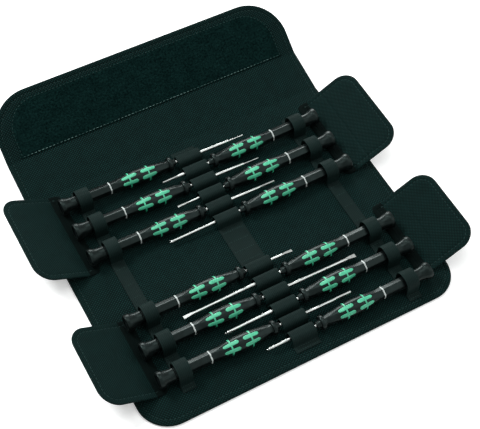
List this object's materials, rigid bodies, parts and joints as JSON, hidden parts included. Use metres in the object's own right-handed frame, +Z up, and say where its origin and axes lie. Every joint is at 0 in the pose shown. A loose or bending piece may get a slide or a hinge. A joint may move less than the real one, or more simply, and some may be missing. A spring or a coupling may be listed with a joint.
{
  "type": "precision screwdriver set",
  "caption": "Folding fabric pouch holding precision screwdrivers with rotating caps in elastic loops, with side flaps and a hook-and-loop closure flap.",
  "frame": {"origin": "centre of the middle spine's underside, on the surface that the open pouch lies on", "axes": "+X along the drivers to the right, +Y from the lower half's free end towards the closure flap, +Z up out of the open pouch"},
  "size_m": [0.301, 0.293, 0.0403],
  "materials": {
    "woven_board": "ribbed polyester weave over a stiff board, stitched border",
    "woven_flap": "ribbed polyester weave, bound edge",
    "loop_pile": "fuzzy loop pile",
    "hook_pile": "fine moulded hooks on tape",
    "elastic": "flat woven elastic tape",
    "handle_black": "satin moulded grip",
    "grip_green": "soft overmoulded zones",
    "cap_black": "satin moulded plastic",
    "blade_steel": "matt chromed tool steel"
  },
  "bodies": {
    "upper_half": {"upper_panel": "woven_board", "strap_upper_left": "elastic", "strap_upper_centre": "elastic", "strap_upper_right": "elastic"},
    "spine": {"middle_spine": "woven_board", "strap_spine": "elastic"},
    "lower_half": {"lower_panel": "woven_board", "strap_lower_left": "elastic", "strap_lower_centre": "elastic", "strap_lower_right": "elastic", "hook_strip": "hook_pile"},
    "top_spine": {"top_spine": "woven_board"},
    "closure_flap": {"closure_flap": "woven_board", "loop_strip": "loop_pile"},
    "side_wall_upper_left": {"side_wall_upper_left": "woven_flap"},
    "side_tuck_upper_left": {"side_tuck_upper_left": "woven_flap"},
    "side_wall_upper_right": {"side_wall_upper_right": "woven_flap"},
    "side_tuck_upper_right": {"side_tuck_upper_right": "woven_flap"},
    "side_wall_lower_left": {"side_wall_lower_left": "woven_flap"},
    "side_tuck_lower_left": {"side_tuck_lower_left": "woven_flap"},
    "side_wall_lower_right": {"side_wall_lower_right": "woven_flap"},
    "side_tuck_lower_right": {"side_tuck_lower_right": "woven_flap"},
    "driver_01": {"handle_01": "handle_black", "blade_01": "blade_steel"},
    "cap_01": {"cap_01": "cap_black"},
    "driver_02": {"handle_02": "handle_black", "blade_02": "blade_steel"},
    "cap_02": {"cap_02": "cap_black"},
    "driver_03": {"handle_03": "handle_black", "blade_03": "blade_steel"},
    "cap_03": {"cap_03": "cap_black"},
    "driver_04": {"handle_04": "handle_black", "blade_04": "blade_steel"},
    "cap_04": {"cap_04": "cap_black"},
    "driver_05": {"handle_05": "handle_black", "blade_05": "blade_steel"},
    "cap_05": {"cap_05": "cap_black"},
    "driver_06": {"handle_06": "handle_black", "blade_06": "blade_steel"},
    "cap_06": {"cap_06": "cap_black"},
    "driver_07": {"handle_07": "handle_black", "blade_07": "blade_steel"},
    "cap_07": {"cap_07": "cap_black"},
    "driver_08": {"handle_08": "handle_black", "blade_08": "blade_steel"},
    "cap_08": {"cap_08": "cap_black"},
    "driver_09": {"handle_09": "handle_black", "blade_09": "blade_steel"},
    "cap_09": {"cap_09": "cap_black"},
    "driver_10": {"handle_10": "handle_black", "blade_10": "blade_steel"},
    "cap_10": {"cap_10": "cap_black"},
    "driver_11": {"handle_11": "handle_black", "blade_11": "blade_steel"},
    "cap_11": {"cap_11": "cap_black"},
    "driver_12": {"handle_12": "handle_black", "blade_12": "blade_steel"},
    "cap_12": {"cap_12": "cap_black"}
  },
  "joints": [
    {"name": "middle_fold", "type": "hinge", "parent": "upper_half", "child": "spine", "pos_m": [0, 0.016, 0.0038], "axis": [1, 0, 0], "range_deg": [-90, 0]},
    {"name": "lower_fold", "type": "hinge", "parent": "spine", "child": "lower_half", "pos_m": [0, -0.016, 0.0038], "axis": [1, 0, 0], "range_deg": [-90, 0]},
    {"name": "top_fold", "type": "hinge", "parent": "upper_half", "child": "top_spine", "pos_m": [0, 0.107, 0.0038], "axis": [-1, 0, 0], "range_deg": [-78, 12]},
    {"name": "closure_fold", "type": "hinge", "parent": "top_spine", "child": "closure_flap", "pos_m": [0, 0.14241, 0.01133], "axis": [-1, 0, 0], "range_deg": [-66, 24]},
    {"name": "wall_hinge_upper_left", "type": "hinge", "parent": "upper_half", "child": "side_wall_upper_left", "pos_m": [-0.112, 0.066, 0.0034], "axis": [0, 1, 0], "range_deg": [-30, 60], "deforming": ["side_wall_upper_left", "side_tuck_upper_left"]},
    {"name": "tuck_crease_upper_left", "type": "hinge", "parent": "side_wall_upper_left", "child": "side_tuck_upper_left", "pos_m": [-0.12428, 0.066, 0.01153], "axis": [0, 1, 0], "range_deg": [0, 90]},
    {"name": "wall_hinge_upper_right", "type": "hinge", "parent": "upper_half", "child": "side_wall_upper_right", "pos_m": [0.112, 0.0565, 0.0034], "axis": [0, -1, 0], "range_deg": [-30, 60], "deforming": ["side_wall_upper_right", "side_tuck_upper_right"]},
    {"name": "tuck_crease_upper_right", "type": "hinge", "parent": "side_wall_upper_right", "child": "side_tuck_upper_right", "pos_m": [0.12428, 0.0565, 0.01153], "axis": [0, -1, 0], "range_deg": [0, 90]},
    {"name": "wall_hinge_lower_left", "type": "hinge", "parent": "lower_half", "child": "side_wall_lower_left", "pos_m": [-0.112, -0.05, 0.0034], "axis": [0, 1, 0], "range_deg": [-30, 60], "deforming": ["side_wall_lower_left", "side_tuck_lower_left"]},
    {"name": "tuck_crease_lower_left", "type": "hinge", "parent": "side_wall_lower_left", "child": "side_tuck_lower_left", "pos_m": [-0.12428, -0.05, 0.01153], "axis": [0, 1, 0], "range_deg": [0, 90]},
    {"name": "wall_hinge_lower_right", "type": "hinge", "parent": "lower_half", "child": "side_wall_lower_right", "pos_m": [0.112, -0.052, 0.0034], "axis": [0, -1, 0], "range_deg": [-30, 60], "deforming": ["side_wall_lower_right", "side_tuck_lower_right"]},
    {"name": "tuck_crease_lower_right", "type": "hinge", "parent": "side_wall_lower_right", "child": "side_tuck_lower_right", "pos_m": [0.12428, -0.052, 0.01153], "axis": [0, -1, 0], "range_deg": [0, 90]},
    {"name": "driver_slide_01", "type": "slide", "parent": "upper_half", "child": "driver_01", "axis": [0.9997, 0, -0.0262], "range_m": [-0.2006, 0]},
    {"name": "cap_spin_01", "type": "hinge", "parent": "driver_01", "child": "cap_01", "pos_m": [-0.09587, 0.0879, 0.01038], "axis": [-0.9997, 0, 0.0262], "continuous": true},
    {"name": "driver_slide_02", "type": "slide", "parent": "upper_half", "child": "driver_02", "axis": [-0.9997, 0, -0.0262], "range_m": [-0.1806, 0]},
    {"name": "cap_spin_02", "type": "hinge", "parent": "driver_02", "child": "cap_02", "pos_m": [0.09587, 0.0752, 0.01038], "axis": [0.9997, 0, 0.0262], "continuous": true},
    {"name": "driver_slide_03", "type": "slide", "parent": "upper_half", "child": "driver_03", "axis": [0.9997, 0, -0.0262], "range_m": [-0.2006, 0]},
    {"name": "cap_spin_03", "type": "hinge", "parent": "driver_03", "child": "cap_03", "pos_m": [-0.09587, 0.0625, 0.01038], "axis": [-0.9997, 0, 0.0262], "continuous": true},
    {"name": "driver_slide_04", "type": "slide", "parent": "upper_half", "child": "driver_04", "axis": [-0.9997, 0, -0.0262], "range_m": [-0.1806, 0]},
    {"name": "cap_spin_04", "type": "hinge", "parent": "driver_04", "child": "cap_04", "pos_m": [0.09587, 0.0498, 0.01038], "axis": [0.9997, 0, 0.0262], "continuous": true},
    {"name": "driver_slide_05", "type": "slide", "parent": "upper_half", "child": "driver_05", "axis": [0.9997, 0, -0.0262], "range_m": [-0.2006, 0]},
    {"name": "cap_spin_05", "type": "hinge", "parent": "driver_05", "child": "cap_05", "pos_m": [-0.09587, 0.0371, 0.01038], "axis": [-0.9997, 0, 0.0262], "continuous": true},
    {"name": "driver_slide_06", "type": "slide", "parent": "upper_half", "child": "driver_06", "axis": [-0.9997, 0, -0.0262], "range_m": [-0.2006, 0]},
    {"name": "cap_spin_06", "type": "hinge", "parent": "driver_06", "child": "cap_06", "pos_m": [0.09587, 0.0244, 0.01038], "axis": [0.9997, 0, 0.0262], "continuous": true},
    {"name": "driver_slide_07", "type": "slide", "parent": "lower_half", "child": "driver_07", "axis": [0.9997, 0, -0.0262], "range_m": [-0.1806, 0]},
    {"name": "cap_spin_07", "type": "hinge", "parent": "driver_07", "child": "cap_07", "pos_m": [-0.09587, -0.0244, 0.01038], "axis": [-0.9997, 0, 0.0262], "continuous": true},
    {"name": "driver_slide_08", "type": "slide", "parent": "lower_half", "child": "driver_08", "axis": [-0.9997, 0, -0.0262], "range_m": [-0.2206, 0]},
    {"name": "cap_spin_08", "type": "hinge", "parent": "driver_08", "child": "cap_08", "pos_m": [0.09587, -0.0371, 0.01038], "axis": [0.9997, 0, 0.0262], "continuous": true},
    {"name": "driver_slide_09", "type": "slide", "parent": "lower_half", "child": "driver_09", "axis": [0.9997, 0, -0.0262], "range_m": [-0.2206, 0]},
    {"name": "cap_spin_09", "type": "hinge", "parent": "driver_09", "child": "cap_09", "pos_m": [-0.09587, -0.0498, 0.01038], "axis": [-0.9997, 0, 0.0262], "continuous": true},
    {"name": "driver_slide_10", "type": "slide", "parent": "lower_half", "child": "driver_10", "axis": [-0.9997, 0, -0.0262], "range_m": [-0.2006, 0]},
    {"name": "cap_spin_10", "type": "hinge", "parent": "driver_10", "child": "cap_10", "pos_m": [0.09587, -0.0625, 0.01038], "axis": [0.9997, 0, 0.0262], "continuous": true},
    {"name": "driver_slide_11", "type": "slide", "parent": "lower_half", "child": "driver_11", "axis": [0.9997, 0, -0.0262], "range_m": [-0.2006, 0]},
    {"name": "cap_spin_11", "type": "hinge", "parent": "driver_11", "child": "cap_11", "pos_m": [-0.09587, -0.0752, 0.01038], "axis": [-0.9997, 0, 0.0262], "continuous": true},
    {"name": "driver_slide_12", "type": "slide", "parent": "lower_half", "child": "driver_12", "axis": [-0.9997, 0, -0.0262], "range_m": [-0.1806, 0]},
    {"name": "cap_spin_12", "type": "hinge", "parent": "driver_12", "child": "cap_12", "pos_m": [0.09587, -0.0879, 0.01038], "axis": [0.9997, 0, 0.0262], "continuous": true}
  ],
  "couplings": [
    {"joint": "lower_fold", "follows": "middle_fold", "ratio": 1},
    {"joint": "closure_fold", "follows": "top_fold", "ratio": 0.84615}
  ]
}
